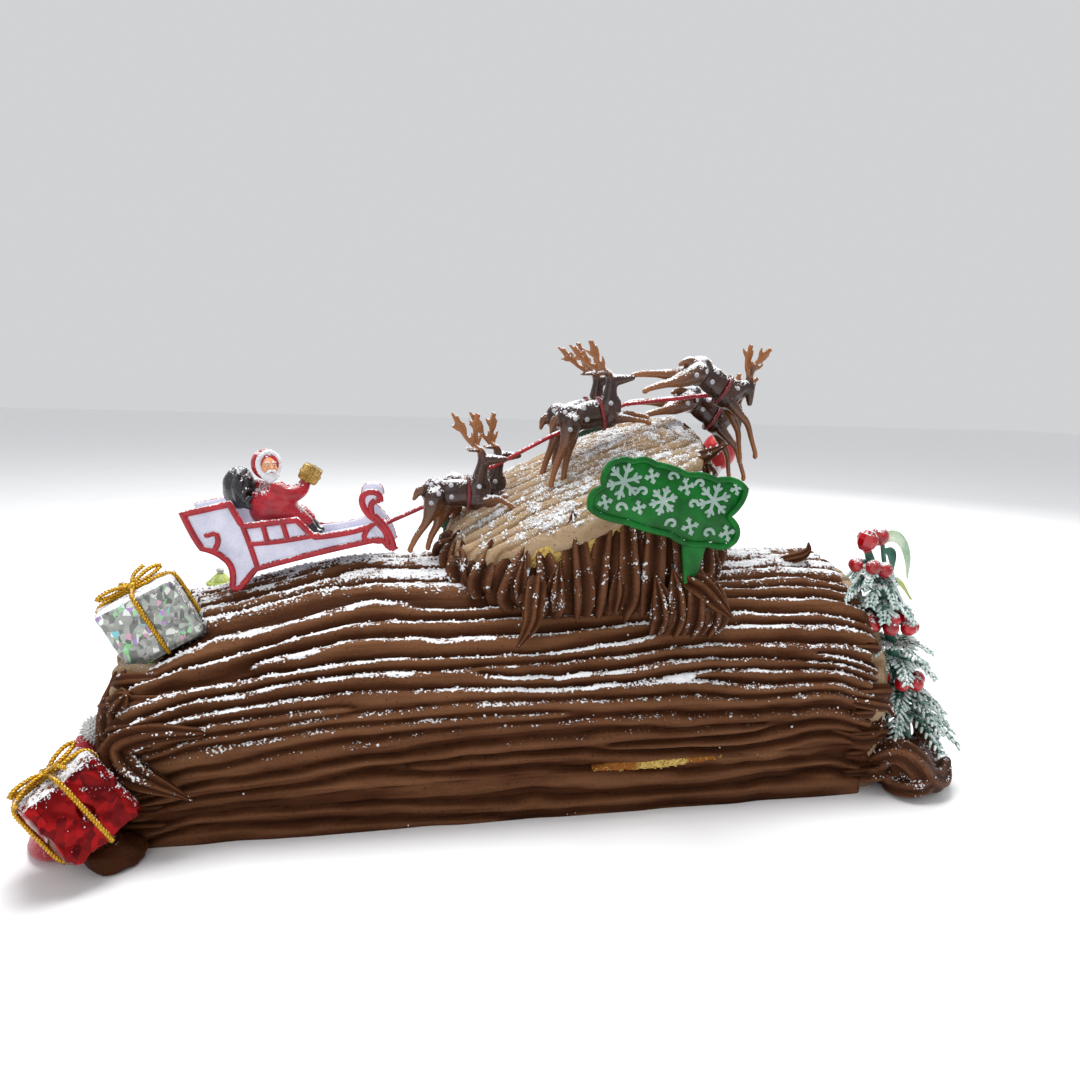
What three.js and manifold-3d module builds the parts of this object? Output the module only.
// A yule log cake: a sponge roll laid on its side under ribbed chocolate buttercream, with pale
// vanilla buttercream on its two ends, and an oblique stump of the same roll standing on it.
// Moulded plastic picks dress it: a sleigh with its rider, three pairs of harnessed deer, a green
// plaque, a berry tree in a mound of buttercream, two foil gifts, a bauble and a holly sprig.
//
// Millimetres, +Z up. X runs along the log, -Y is its front, and the origin is the middle of
// the log's flat underside.

import * as THREE from 'three';
import { mergeVertices } from 'three/addons/utils/BufferGeometryUtils.js';
import Module from 'manifold-3d';

const wasm = await Module();
wasm.setup();

// ---------------------------------------------------------------- driving dimensions

const GAP = 0.3; // clearance left between two pieces that touch
const SLIVER = 0.25; // detail finer than this is merged away

const LOG = {
  left: -152, right: 150, halfWidth: 59, baseHalfWidth: 55, height: 97, widestAt: 41,
  sag: 17, sagFrom: -60, sagTo: -150, // the left end of the crest sinks by this much
  ribs: 25, ribDepth: 2, coat: 7, endRound: 10, endShrink: 0.1, steps: 9,
};
const END_CREAM = { inset: 9, thick: 6, bevel: 4 };
const SPLIT = { x: 56, z: 21.5, halfLength: 30, halfHeight: 2.2 };

const STUMP = {
  x: 29, y: -1, halfLength: 62, halfDepth: 43, squareness: 2.8, coat: 8, ribs: 28, ribDepth: 2.2,
  footFlare: 0.06, topAtCentre: 127, slopeX: 0.43, slopeY: 0.25,
};
const STUMP_CREAM = { halfLength: 59, halfDepth: 40, rim: 4, dome: 7, rings: 4, ringDepth: 1.6 };

const TEAM_HALF_GAUGE = 9; // each deer of a pair stands this far from the shaft
const DEER_SIZE = 14; // half the length of a deer's barrel
const SHAFT_HALF = 1.1;

const SLEIGH = { near: -13, far: 11, plate: 2 };
const CORD_RADIUS = 0.9;
const SILVER = { size: [29.5, 26, 25], turn: [-1, -26, 14.5], centre: [-146, -21, 77.5] };
const RED = { size: [26.5, 27, 27.5], turn: [-16, -26.5, 41], centre: [-161.5, -63.5, 23.8] };

// ---------------------------------------------------------------- colours and materials

const finish = (color, roughness, metalness = 0) =>
  new THREE.MeshStandardMaterial({ color, roughness, metalness });
const CHOCOLATE = finish(0x4a2c1c, 0.55);
const VANILLA = finish(0xc9ab84, 0.6);
const SPONGE = finish(0xd3b552, 0.9);
const SLEIGH_WHITE = finish(0xdfe0f2, 0.35);
const RIDER_RED = finish(0xb01426, 0.4);
const SHAFT_RED = finish(0xb3101f, 0.35);
const DEER_BROWN = finish(0x5a3624, 0.35);
const PLAQUE_GREEN = finish(0x0f7a2a, 0.3);
const FIR_GREEN = finish(0x2f7a68, 0.45);
const BERRY_RED = finish(0xb3121d, 0.2);
const HOLLY_GREEN = finish(0x1c3f2c, 0.4);
const LEAF_GREEN = finish(0x8fae6a, 0.45);
const FLUFF_WHITE = finish(0xeeeeea, 0.8);
const SILVER_FOIL = finish(0xb9bdc4, 0.2, 0.9);
const RED_FOIL = finish(0xc01020, 0.2, 0.8);
const GOLD_CORD = finish(0xc79a2a, 0.35, 0.8);

// ---------------------------------------------------------------- solids and geometry

const vec = (x, y, z) => new THREE.Vector3(x, y, z);

// A three.js geometry as a manifold-3d solid, with shared vertices merged.
function solid(geometry) {
  const bare = geometry.clone();
  bare.deleteAttribute('normal');
  bare.deleteAttribute('uv');
  const merged = mergeVertices(bare, 1e-3);
  return new wasm.Manifold(new wasm.Mesh({
    numProp: 3,
    vertProperties: merged.attributes.position.array,
    triVerts: new Uint32Array(merged.index.array),
  }));
}

function geometryOf(manifold) {
  const { numProp, vertProperties, triVerts } = manifold.getMesh();
  const positions = new Float32Array((vertProperties.length / numProp) * 3);
  for (let i = 0; i < positions.length / 3; i += 1) {
    for (let k = 0; k < 3; k += 1) positions[i * 3 + k] = vertProperties[i * numProp + k];
  }
  const geometry = new THREE.BufferGeometry();
  geometry.setAttribute('position', new THREE.BufferAttribute(positions, 3));
  geometry.setIndex(new THREE.BufferAttribute(new Uint32Array(triVerts), 1));
  geometry.computeVertexNormals();
  return geometry;
}

const unite = (solids) => solids.reduce((sum, next) => sum.add(next));
const mainBody = (cut) => cut.decompose().reduce((a, b) => (a.volume() > b.volume() ? a : b));

// A piece cut back from others, each shifted both ways along every axis to leave the gap.
function clearOf(piece, others) {
  const shifts = [0, 1, 2].flatMap((axis) => [-GAP, GAP].map((by) => {
    const shift = [0, 0, 0];
    shift[axis] = by;
    return shift;
  }));
  return mainBody(others.reduce((left, other) => shifts.reduce(
    (rest, shift) => rest.subtract(other.translate(shift)), left), piece));
}

function reshape(geometry, move) {
  const place = geometry.attributes.position;
  const point = new THREE.Vector3();
  for (let i = 0; i < place.count; i += 1) {
    point.fromBufferAttribute(place, i);
    move(point);
    place.setXYZ(i, point.x, point.y, point.z);
  }
  return geometry;
}

// A tapered round limb from one point to another.
function limb(from, to, fromRadius, toRadius, sides = 5) {
  const span = to.clone().sub(from);
  const geometry = new THREE.CylinderGeometry(toRadius, fromRadius, span.length(), sides);
  const turn = new THREE.Quaternion().setFromUnitVectors(vec(0, 1, 0), span.clone().normalize());
  return solid(geometry.applyQuaternion(turn).translate(...from.clone().add(to).multiplyScalar(0.5)));
}

function limbs(points, radii, sides) {
  return points.slice(1).map((to, i) => limb(points[i], to, radii[i], radii[i + 1], sides));
}

function ellipsoid(centre, halves, pitch = 0, across = 7, around = 5) {
  const ball = new THREE.SphereGeometry(1, across, around).scale(...halves).rotateY(-pitch);
  return solid(ball.translate(centre.x, centre.y, centre.z));
}

function block(size, centre) {
  return solid(new THREE.BoxGeometry(...size).translate(...centre));
}

// What of a solid stands above the surface that the cake rests on.
function aboveTable(piece) {
  return piece.trimByPlane([0, 0, 1], 0);
}

const smooth = (t) => {
  const held = THREE.MathUtils.clamp(t, 0, 1);
  return held * held * (3 - 2 * held);
};

// ---------------------------------------------------------------- the log

const crestDrop = (x) => LOG.sag * smooth((LOG.sagFrom - x) / (LOG.sagFrom - LOG.sagTo));

// The log's arch as an outline, grown outwards by a margin and ribbed by a depth.
function archPoints(margin, ribDepth, count) {
  const points = [];
  for (let i = 0; i <= count; i += 1) {
    const turn = -Math.PI * 0.25 + (i / count) * Math.PI * 1.5;
    const grow = margin + (i % 2 ? ribDepth : 0);
    const above = Math.sin(turn) >= 0;
    const reach = LOG.halfWidth + grow;
    const rise = above ? LOG.height - LOG.widestAt + grow : LOG.widestAt / Math.SQRT1_2;
    const tuck = above ? 0 : (LOG.halfWidth - LOG.baseHalfWidth) * (-Math.sin(turn) / Math.SQRT1_2);
    const across = above ? Math.cos(turn) * reach : Math.sign(Math.cos(turn)) * (reach - tuck);
    points.push(new THREE.Vector2(across, LOG.widestAt + Math.sin(turn) * rise));
  }
  return points;
}

// The arch drawn out along X, with stations closer together at its rounded, sagging ends.
function archSolid(left, right, margin, ribDepth, count, below = 0) {
  const outline = archPoints(margin, ribDepth, count);
  outline[0].y = -below;
  outline[outline.length - 1].y = -below;
  const drawn = new THREE.ExtrudeGeometry(new THREE.Shape(outline), {
    depth: 1, steps: LOG.steps, bevelEnabled: false,
  });
  return solid(reshape(drawn, (p) => {
    const along = 0.5 - 0.5 * Math.cos(Math.PI * p.z);
    const x = THREE.MathUtils.lerp(left, right, along);
    const fromEnd = Math.min(x - LOG.left, LOG.right - x);
    const inRound = THREE.MathUtils.clamp(1 - fromEnd / LOG.endRound, 0, 1);
    const shrink = 1 - LOG.endShrink * (1 - Math.sqrt(1 - inRound * inRound));
    const height = Math.max(p.y, 0) * shrink * (1 - crestDrop(x) / LOG.height);
    p.set(x, p.x * shrink, p.y < 0 ? p.y : height);
  }));
}

const COUNT = LOG.ribs * 2;
const logOuter = archSolid(LOG.left, LOG.right, -LOG.ribDepth, LOG.ribDepth, COUNT);
const logRoom = archSolid(LOG.left - GAP, LOG.right + GAP, GAP, 0, COUNT, 5);
const coreLeft = LOG.left + END_CREAM.inset;
const coreRight = LOG.right - END_CREAM.inset;
const logCore = archSolid(coreLeft, coreRight, -LOG.coat, 0, 22);
const stretches = [[coreLeft, coreRight], [LOG.left - 20, coreLeft], [coreRight, LOG.right + 20]];
const logCoreRoom = unite(stretches.map(
  ([from, to]) => archSolid(from, to, GAP - LOG.coat, 0, 22, 5)));
const split = solid(reshape(
  new THREE.CylinderGeometry(1, 1, 2 * LOG.coat + 4, 12).translate(0, -LOG.halfWidth, 0),
  (p) => p.set(SPLIT.x + p.x * SPLIT.halfLength, p.y, SPLIT.z + p.z * SPLIT.halfHeight),
));

function endCream(side) {
  const outline = archPoints(-LOG.coat - END_CREAM.bevel - GAP, 0, 20);
  const crown = new THREE.ExtrudeGeometry(new THREE.Shape(outline), {
    depth: END_CREAM.thick, steps: 1,
    bevelThickness: END_CREAM.bevel, bevelSize: END_CREAM.bevel, bevelSegments: 2,
  });
  const end = side < 0 ? LOG.left : LOG.right;
  const inner = end - side * (END_CREAM.inset - GAP - END_CREAM.bevel);
  return solid(reshape(crown, (p) => {
    const lower = 1 - crestDrop(end) / LOG.height;
    const held = 1 - LOG.endShrink;
    p.set(inner + side * p.z, side * p.x * held, Math.max(0, p.y) * lower * held);
  }));
}

// ---------------------------------------------------------------- the stump

const stumpPlane = (x, y) => STUMP.topAtCentre + STUMP.slopeX * (x - STUMP.x)
  + STUMP.slopeY * (y - STUMP.y);

// A point of the stump's plan, a squared-off ellipse, from a turn about its middle.
const plump = (wave) => Math.sign(wave) * Math.abs(wave) ** (2 / STUMP.squareness);

function stumpSolid(margin, ribDepth, count, top = 0) {
  const ring = [];
  for (let i = 0; i < count; i += 1) {
    const turn = ((i + 0.5) / count) * 2 * Math.PI;
    const grow = margin - (i % 2 ? ribDepth : 0);
    ring.push(new THREE.Vector2(
      (STUMP.halfLength + grow) * plump(Math.cos(turn)),
      (STUMP.halfDepth + grow) * plump(Math.sin(turn)),
    ));
  }
  const drawn = new THREE.ExtrudeGeometry(new THREE.Shape(ring), {
    depth: 1, steps: 3, bevelEnabled: false,
  });
  const foot = 50;
  return solid(reshape(drawn, (p) => {
    const flare = 1 + STUMP.footFlare * (1 - p.z);
    const x = STUMP.x + p.x * flare;
    const y = STUMP.y + p.y * flare;
    p.set(x, y, THREE.MathUtils.lerp(foot, stumpPlane(x, y) + top, p.z));
  }));
}

const stumpCore = stumpSolid(-STUMP.coat, 0, 28).subtract(logRoom);
const stumpCoat = stumpSolid(0, STUMP.ribDepth, STUMP.ribs * 2)
  .subtract(stumpSolid(GAP - STUMP.coat, 0, 28, 5))
  .subtract(logRoom);

function stumpCreamSolid() {
  const profile = [new THREE.Vector2(0, GAP)];
  profile.push(new THREE.Vector2(1, GAP), new THREE.Vector2(1, STUMP_CREAM.rim));
  const rings = STUMP_CREAM.rings * 2;
  for (let i = 1; i <= rings; i += 1) {
    const out = 1 - i / rings;
    const rise = STUMP_CREAM.rim + STUMP_CREAM.dome * Math.sqrt(1 - out * out);
    profile.push(new THREE.Vector2(out, rise - (i % 2 ? 0 : STUMP_CREAM.ringDepth)));
  }
  const dome = new THREE.LatheGeometry(profile, 24).rotateX(Math.PI / 2);
  return solid(reshape(dome, (p) => {
    const out = Math.hypot(p.x, p.y) || 1;
    const x = STUMP.x + out * plump(p.x / out) * STUMP_CREAM.halfLength;
    const y = STUMP.y + out * plump(p.y / out) * STUMP_CREAM.halfDepth;
    p.set(x, y, stumpPlane(x, y) + p.z);
  })).subtract(logRoom);
}
const stumpCream = stumpCreamSolid();

// ---------------------------------------------------------------- the deer team

// Each pose holds a deer's joints in its own plane (X forward, Z up), from its barrel's centre.
const POSES = {
  stepping: {
    at: [-28, 124.5], pitch: 0,
    neck: [[9, 2], [11, 14]], nose: [18.5, 14.5], crown: [9.5, 18],
    fore: [[[9, -3], [17, -2], [23, -5]], [[9, -3], [15, -5], [21, -1]]],
    hind: [[[-10, -2], [-13, -12], [-19.5, -23]], [[-9, -2], [-8, -13], [-12, -23]]],
    tips: [[-2.5, 33], [8, 33]],
  },
  climbing: {
    at: [28, 158], pitch: 14,
    neck: [[9, 2], [12, 12]], nose: [20, 11.5], crown: [11, 15.5],
    fore: [[[9, -3], [16, -5], [24, -8]], [[9, -3], [17, -3], [25, -6]]],
    hind: [[[-10, -2], [-15, -11], [-23, -24]], [[-9, -2], [-12, -13], [-17, -26]]],
    tips: [[5, 30], [-2, 30]],
  },
  leaping: {
    at: [83, 173], pitch: -32,
    neck: [[9, 2], [14, 8]], nose: [18, 3], crown: [12, 11],
    fore: [[[9, -3], [22, -6], [34, -15]], [[9, -3], [22, -10], [31, -20]]],
    hind: [[[-10, -2], [-18, -12], [-25, -20]], [[-9, -2], [-22, -10], [-32, -17]]],
    tips: [[11, 25], [5, 23]],
  },
};

function deer(pose, y, forward, drop) {
  const half = DEER_SIZE;
  const p2 = ([x, z], side = 0) => vec(x, side, z);
  const pieces = [
    ellipsoid(vec(0, 0, 0), [half, 4.3, 6.8], 0, 8, 6),
    ...limbs(pose.neck.map((p) => p2(p)), [4.6, 2.7], 5),
    limb(p2(pose.neck[1]), p2(pose.nose), 3, 1.5, 5),
    limb(p2(pose.neck[1]), p2(pose.crown), 2.7, 2.1, 4),
    limb(vec(-half + 3, 0, 1), vec(-half - 4, 0, -3), 2, 1, 3),
  ];
  for (const [index, side] of [-2.2, 2.2].entries()) {
    pieces.push(...limbs(pose.fore[index].map((p) => p2(p, side)), [2.3, 1.4, 1.1], 3));
    pieces.push(...limbs(pose.hind[index].map((p) => p2(p, side)), [3.4, 1.7, 1.3], 3));
    pieces.push(limb(p2(pose.crown, side * 0.5), p2(pose.tips[index], side * 1.6), 1.3, 1, 3));
  }
  const placed = unite(pieces).rotate([0, -pose.pitch, 0]);
  return placed.translate([pose.at[0] + forward, y, pose.at[1] - drop]);
}

const team = [
  ['deer_1_near', 'stepping', -1, 0, 0], ['deer_1_far', 'stepping', 1, 9, 0],
  ['deer_2_near', 'climbing', -1, 0, 0], ['deer_2_far', 'climbing', 1, -1, 0],
  ['deer_3_near', 'leaping', -1, 0, 0], ['deer_3_far', 'leaping', 1, 4, 12],
].map(([name, pose, side, forward, drop]) => [
  name, deer(POSES[pose], side * TEAM_HALF_GAUGE, forward, drop),
]);

// The red shaft runs from the sleigh's nose between each pair, with a cross bar at each breast.
const SHAFT_ROUTE = [[-58, 110], [-36, 120], [-14, 134], [14, 149], [46, 163], [84, 168]];

function shaftSolid() {
  const route = SHAFT_ROUTE.map(([x, z]) => vec(x, 0, z));
  const reach = TEAM_HALF_GAUGE;
  const bars = [route[1], route[3].clone().lerp(route[4], 0.55), route[5]];
  const crossed = bars.map((p) => block([3, reach * 2, 2.4], p.toArray()));
  const nose = block([2.4, SLEIGH.far - SLEIGH.near - 2 * (SLEIGH.plate + GAP), 2.4],
    [route[0].x, (SLEIGH.far + SLEIGH.near) / 2, route[0].z]);
  return unite([...limbs(route, route.map(() => SHAFT_HALF), 6), ...crossed, nose]);
}

// ---------------------------------------------------------------- the sleigh and its rider

// A side plate's outline: high tail on the left, seat rail, low prow and a curl at the front.
function sleighOutline() {
  const plate = new THREE.Shape();
  plate.moveTo(-136, 117);
  plate.lineTo(-117, 121.5);
  plate.lineTo(-112.5, 112.5);
  plate.lineTo(-92, 115);
  plate.lineTo(-85.5, 108);
  plate.quadraticCurveTo(-72, 109, -62, 113);
  plate.bezierCurveTo(-68, 120, -66, 126.5, -61.5, 126);
  plate.quadraticCurveTo(-57.5, 125.5, -58.5, 122);
  plate.quadraticCurveTo(-62, 122, -61, 117.5);
  plate.quadraticCurveTo(-55, 112, -53, 101.5);
  plate.lineTo(-57, 101.5);
  plate.quadraticCurveTo(-58, 105, -61, 105);
  plate.quadraticCurveTo(-85, 100, -108, 93.5);
  plate.lineTo(-115, 85);
  plate.lineTo(-119, 86);
  plate.quadraticCurveTo(-117, 95, -121, 98);
  plate.quadraticCurveTo(-124, 101, -129, 102);
  plate.quadraticCurveTo(-132, 106, -136, 117);
  return plate;
}

// The tray between the two plates, grown by a margin: floor, raked back, seat and apron.
function sleighTray(margin) {
  const inside = SLEIGH.far - SLEIGH.near - 1;
  const middle = (SLEIGH.far + SLEIGH.near) / 2;
  const slab = (long, high) => new THREE.BoxGeometry(long + 2 * margin, inside, high + 2 * margin);
  return unite([
    slab(52, 2).rotateY(-0.2).translate(-88, middle, 103),
    slab(2, 14).rotateY(-0.35).translate(-119, middle, 112),
    slab(20, 2).translate(-108, middle, 107),
    slab(2, 10).translate(-114.5, middle, 102),
  ].map(solid));
}

function sleighSolid() {
  const plate = new THREE.ExtrudeGeometry(sleighOutline(), {
    depth: SLEIGH.plate, steps: 1, bevelEnabled: false, curveSegments: 3,
  }).rotateX(Math.PI / 2);
  const near = solid(plate.clone().translate(0, SLEIGH.near + SLEIGH.plate, 0));
  const far = solid(plate.clone().translate(0, SLEIGH.far, 0));
  return unite([near, far, sleighTray(0)]).subtract(logRoom);
}
const sleigh = sleighSolid();
const sleighRoom = sleighTray(GAP);

function riderSolid() {
  const pieces = [
    ellipsoid(vec(-103, -1, 118.5), [8.5, 7.5, 10], 0, 8, 6), // coat
    ellipsoid(vec(-105, -1.5, 134.5), [5.8, 5.6, 6.6], 0, 7, 6), // hood and head
    limb(vec(-104, -2, 130), vec(-101.5, -4, 122), 5, 3, 5), // beard
    ellipsoid(vec(-116, 1, 125.5), [6.5, 6, 9], 0, 7, 5), // sack
    limb(vec(-116, 1, 126), vec(-104, 1, 123), 3, 4, 4), // far arm to the sack
    ...limbs([vec(-100, -5, 125), vec(-94, -4, 124), vec(-89, -3, 129)], [3, 2.6, 2], 4),
    solid(new THREE.BoxGeometry(8, 6, 7).rotateY(0.5).translate(-87.5, -3, 131.5)), // parcel
    ...[-4, 3].flatMap((y) => limbs([vec(-100, y, 114), vec(-92, y, 114.5), vec(-87, y, 109.5)],
      [3.6, 3, 2.4], 5)), // legs
  ];
  return mainBody(unite(pieces).subtract(sleighRoom));
}

// ---------------------------------------------------------------- the green plaque

function plaqueSolid() {
  const face = new THREE.Shape();
  face.moveTo(-24, 17);
  face.quadraticCurveTo(-20, 21, -14, 19);
  face.quadraticCurveTo(-10, 21, -5, 18);
  face.quadraticCurveTo(2, 17, 8, 14);
  face.quadraticCurveTo(14, 15, 20, 12);
  face.quadraticCurveTo(28, 14, 33, 8);
  face.quadraticCurveTo(33, 2, 27, -3);
  face.quadraticCurveTo(33, -8, 30, -13);
  face.quadraticCurveTo(26, -18, 18, -15);
  face.quadraticCurveTo(8, -16, 2, -11);
  face.quadraticCurveTo(-8, -9, -16, -6);
  face.quadraticCurveTo(-28, -4, -31, 0);
  face.quadraticCurveTo(-32, 7, -26, 9);
  face.quadraticCurveTo(-27, 13, -24, 17);
  const plate = new THREE.ExtrudeGeometry(face, {
    depth: 2.4, steps: 1, bevelEnabled: false, curveSegments: 4,
  });
  const stake = new THREE.Shape([
    new THREE.Vector2(7, -9), new THREE.Vector2(9, -60), new THREE.Vector2(13, -60),
    new THREE.Vector2(19, -9),
  ]);
  const leg = new THREE.ExtrudeGeometry(stake, { depth: 2, steps: 1, bevelEnabled: false });
  return solid(plate).add(solid(leg.translate(0, 0, 0.2)))
    .rotate([90, 0, 0]).translate([48.5, -49.5, 124.7]);
}

// ---------------------------------------------------------------- the tree in its mound

const MOUND = { x: 174, y: -42 };
const TREE = { foot: vec(179, -40, 12), bend: vec(166, -39, 60), top: vec(146, -38, 104) };

function treeAt(t) {
  const rising = TREE.foot.clone().lerp(TREE.bend, t);
  return rising.lerp(TREE.bend.clone().lerp(TREE.top, t), t);
}

// Folded lobes of piped buttercream: offset from the middle, radius and height.
const LOBES = [[0, 0, 17, 21], [-11, -7, 12, 16], [5, -12, 11, 13], [13, 2, 11, 15], [-5, 11, 12, 14]];

function moundSolid() {
  const heap = unite(LOBES.map(([x, y, radius, height]) => ellipsoid(
    vec(MOUND.x + x, MOUND.y + y, height * 0.4), [radius, radius, height * 0.6], 0, 9, 5)));
  return aboveTable(heap);
}

// Whorls of moulded twigs, named by where they leave the stem, with their berries.
const WHORLS = [
  { t: 0.24, reach: 22, fall: 12, twigs: 6, berries: 0 },
  { t: 0.37, reach: 15, fall: 4, twigs: 0, berries: 5 },
  { t: 0.5, reach: 22, fall: 1, twigs: 6, berries: 0 },
  { t: 0.72, reach: 16, fall: 3, twigs: 0, berries: 5 },
  { t: 0.84, reach: 15, fall: 7, twigs: 5, berries: 0 },
  { t: 0.96, reach: 10, fall: 5, twigs: 0, berries: 3 },
];
const BERRY_RADIUS = 3;

function treeSolid() {
  const pieces = [];
  const stem = [-0.1, 0.2, 0.4, 0.6, 0.8, 1].map((t) => treeAt(t));
  pieces.push(...limbs(stem, [3.2, 3, 2.7, 2.4, 2, 1.6], 5));
  WHORLS.forEach(({ t, reach, fall, twigs, berries }, tier) => {
    const root = treeAt(t);
    const aim = (i, count) => ((i + 0.5 * (tier % 2)) / count) * 2 * Math.PI;
    const out = (turn, far, down) => root.clone()
      .add(vec(far * Math.cos(turn), far * Math.sin(turn), -down));
    for (let i = 0; i < twigs; i += 1) {
      pieces.push(limb(root, out(aim(i, twigs), reach, fall), 1.7, 1, 3));
    }
    for (let i = 0; i < berries; i += 1) {
      const centre = out(aim(i, berries) + 0.4, reach * 0.62, fall * 0.62);
      pieces.push(ellipsoid(centre, Array(3).fill(BERRY_RADIUS), 0, 5, 3));
      pieces.push(limb(root, centre, 1.2, 1.2, 3));
    }
  });
  return unite(pieces);
}

// ---------------------------------------------------------------- gifts, bauble and holly

// A gift, its cord and the room they press into the cake share one size and one placing.
const settle = (local, { turn, centre }) => local.rotate(turn).translate(centre);
const giftSolid = (gift) => settle(block(gift.size, [0, 0, 0]), gift);
const giftRoom = (gift) => settle(
  block(gift.size.map((side) => side + 2 * (2 * CORD_RADIUS + 2 * GAP)), [0, 0, 0]), gift);

function cordSolid(gift) {
  const thick = CORD_RADIUS * 2;
  const inside = gift.size.map((side) => side + 2 * GAP);
  const hoop = (axis) => {
    const outer = inside.map((side) => side + 2 * thick);
    const inner = [...inside];
    outer[axis] = thick;
    inner[axis] = thick * 2;
    return block(outer, [0, 0, 0]).subtract(block(inner, [0, 0, 0]));
  };
  const top = inside[2] / 2 + CORD_RADIUS;
  const knot = ellipsoid(vec(0, 0, top + 0.6), [2.2, 2, 1.6], 0, 6, 4);
  const loops = [-1, 1].flatMap((way) => limbs([
    vec(0, 0, top + 0.8), vec(way * 6, way * 2, top + 5), vec(way * 12, way * 3, top + 3.5),
    vec(way * 7, 0, top + 1.6), vec(0, 0, top + 0.8),
  ], Array(5).fill(CORD_RADIUS), 3));
  return settle(unite([hoop(0), hoop(1), knot, ...loops]), gift);
}

// A pointed leaf along a bent midrib: each point is followed by the leaf's half width there.
function leaf(stations, thick) {
  const slices = stations.slice(1).map(([to, toWidth], i) => {
    const [from, fromWidth] = stations[i];
    const corners = [[from, fromWidth], [to, toWidth]].flatMap(([at, width]) => [
      [at.x, at.y - width, at.z], [at.x, at.y + width, at.z],
      [at.x + thick, at.y - width, at.z + thick], [at.x + thick, at.y + width, at.z + thick],
    ]);
    return wasm.Manifold.hull(corners);
  });
  return unite(slices);
}

const baubleAt = vec(108, 38, 140);

// The bauble's pick: a pale collar under the ball and a stem that leans down into the log.
function baubleSolid() {
  return unite([
    ellipsoid(baubleAt, [8.5, 8.5, 9.5], 0, 9, 7),
    limb(vec(107, 38, 133), vec(105.5, 38, 128), 5, 2.4, 7),
    limb(vec(106, 38, 132), vec(98, 34, 70), 1.5, 1.2, 4),
  ]);
}

// A felt hat leans behind the red gift, tip up against the log, with a fluffy bobble.
const HAT = {
  foot: vec(-172, -48, -1), tip: vec(-167, -36, 37), radius: 14,
  bobbleAt: vec(-163.5, -35, 38), bobble: 6,
};

// A small winter figure behind the sleigh: body, head and a soft cap.
function snowFigure() {
  return unite([
    ellipsoid(vec(-136, 46, 63), [6, 6, 6.5], 0, 7, 5),
    ellipsoid(vec(-135.5, 46, 71.5), [4.6, 4.6, 4.4], 0, 7, 5),
    limb(vec(-135.5, 46, 73), vec(-135, 46, 78.5), 5.4, 2.6, 7),
    ellipsoid(vec(-135, 46, 80), [1.8, 1.8, 1.6], 0, 5, 4),
  ]);
}

function hollySprig() {
  return unite([
    limb(vec(-21, 52, 60), vec(-21, 50, 107), 1.4, 1.4, 5),
    leaf([[vec(-21.5, 50.5, 93), 0.8], [vec(-17, 50.5, 101), 4.5], [vec(-11, 51, 106), 0.5]], 1.2),
    leaf([[vec(-22, 50.5, 93), 0.8], [vec(-26, 50.5, 100), 4], [vec(-32, 51, 102), 0.5]], 1.2),
    ellipsoid(vec(-24, 50, 107), [3.4, 3.4, 3.4], 0, 6, 4),
    ellipsoid(vec(-18.5, 50, 107), [3.4, 3.4, 3.4], 0, 6, 4),
  ]);
}

const rearLeaf = () => leaf([
  [vec(34, 36, 138), 0.6], [vec(40, 36, 146), 4.5], [vec(50, 36, 152), 0.6],
], 1.4);

// Behind the tree, a sprig with one berry, a pale drooping leaf and two small leaves.
function rearSprig() {
  return unite([
    ...limbs([vec(173, -28, 8), vec(171, -26, 60), vec(162, -25, 104)], [1.6, 1.4, 1.1], 4),
    ellipsoid(vec(160, -25, 108), [4, 4, 4.2], 0, 6, 5),
    leaf([[vec(161, -25, 104), 0.8], [vec(168, -24, 107), 3.4], [vec(174, -24, 102), 2.6],
      [vec(177, -24, 90), 0.4]], 1),
    leaf([[vec(163, -25, 102), 0.8], [vec(167, -24, 98), 2.6], [vec(169, -24, 91), 0.4]], 1),
    leaf([[vec(166, -25, 86), 0.8], [vec(173, -24, 85.5), 3], [vec(181, -24, 78), 0.4]], 1),
  ]);
}

// ---------------------------------------------------------------- assembly

const cake = new THREE.Group();
cake.name = 'yule_log_cake';

const plain = (cut) => cut.asOriginal().simplify(SLIVER);

function add(name, manifold, material) {
  const mesh = new THREE.Mesh(geometryOf(plain(manifold)), material);
  mesh.name = name;
  cake.add(mesh);
}

const creamLeft = endCream(-1);
const creamRight = endCream(1);
const redGiftRoom = giftRoom(RED);
const rooms = giftRoom(SILVER).add(redGiftRoom);
const onLog = (piece) => mainBody(piece.subtract(logRoom));
const intoRibs = (piece) => clearOf(piece, [logOuter]);
const atRightEnd = (piece) => clearOf(onLog(piece), [creamRight]);

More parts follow.
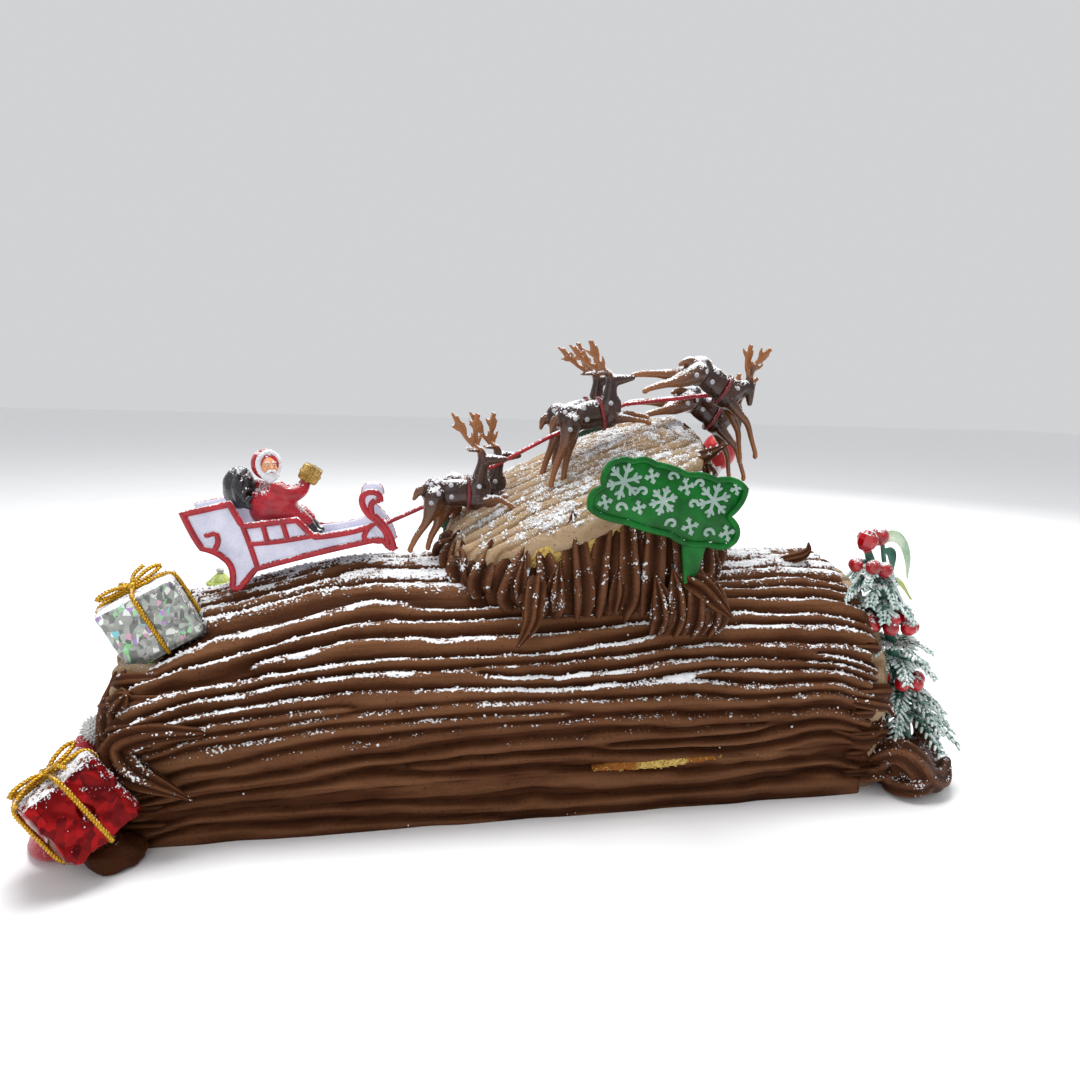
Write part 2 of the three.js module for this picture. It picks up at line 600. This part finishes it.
add('log_sponge', logCore.subtract(rooms), SPONGE);
add('log_frosting', mainBody(logOuter.subtract(logCoreRoom).subtract(split).subtract(rooms)), CHOCOLATE);
add('end_cream_left', mainBody(creamLeft.subtract(rooms)), VANILLA);
add('end_cream_right', creamRight, VANILLA);
add('stump_sponge', stumpCore, SPONGE);
add('stump_frosting', stumpCoat, CHOCOLATE);
add('stump_cream', stumpCream, VANILLA);

team.forEach(([name, animal]) => {
  add(name, clearOf(animal.subtract(logRoom), [stumpCream, stumpCoat]), DEER_BROWN);
});
add('harness_shaft', clearOf(shaftSolid(), team.map(([, animal]) => animal)), SHAFT_RED);
add('sleigh', sleigh, SLEIGH_WHITE);
add('rider', riderSolid(), RIDER_RED);
add('plaque', clearOf(intoRibs(plaqueSolid()), [stumpCoat]), PLAQUE_GREEN);

const tree = plain(atRightEnd(treeSolid()));
const sprig = clearOf(atRightEnd(rearSprig()), [tree]);
add('tree_mound', clearOf(atRightEnd(moundSolid()), [tree, sprig]), CHOCOLATE);
add('tree', tree, FIR_GREEN);
add('tree_top_berry', ellipsoid(vec(145.2, -38, 109), [4, 4, 4.6], 0, 7, 5), BERRY_RED);
add('rear_sprig', sprig, LEAF_GREEN);

add('silver_gift', giftSolid(SILVER), SILVER_FOIL);
add('silver_gift_cord', cordSolid(SILVER), GOLD_CORD);
add('red_gift', giftSolid(RED), RED_FOIL);
add('red_gift_cord', cordSolid(RED), GOLD_CORD);
const dab = aboveTable(ellipsoid(vec(-152, -62, 6), [11, 10, 9], 0, 9, 6));
add('gift_dab', clearOf(onLog(dab), [redGiftRoom, creamLeft]), CHOCOLATE);
const hat = aboveTable(limb(HAT.foot, HAT.tip, HAT.radius, 3, 12));
const bobble = ellipsoid(HAT.bobbleAt, Array(3).fill(HAT.bobble), 0, 7, 5);
add('felt_hat', clearOf(onLog(hat), [redGiftRoom, creamLeft]), RIDER_RED);
add('felt_hat_bobble', clearOf(bobble, [redGiftRoom, creamLeft, logOuter, hat]), FLUFF_WHITE);
add('bauble', clearOf(intoRibs(baubleSolid()), [stumpCoat, stumpCream]), BERRY_RED);
add('snow_figure', onLog(snowFigure()), FLUFF_WHITE);
add('holly_sprig', clearOf(intoRibs(hollySprig()), [stumpCoat, stumpCream]), HOLLY_GREEN);
add('rear_leaf', clearOf(rearLeaf(), [stumpCoat, stumpCream]), HOLLY_GREEN);

export default cake;
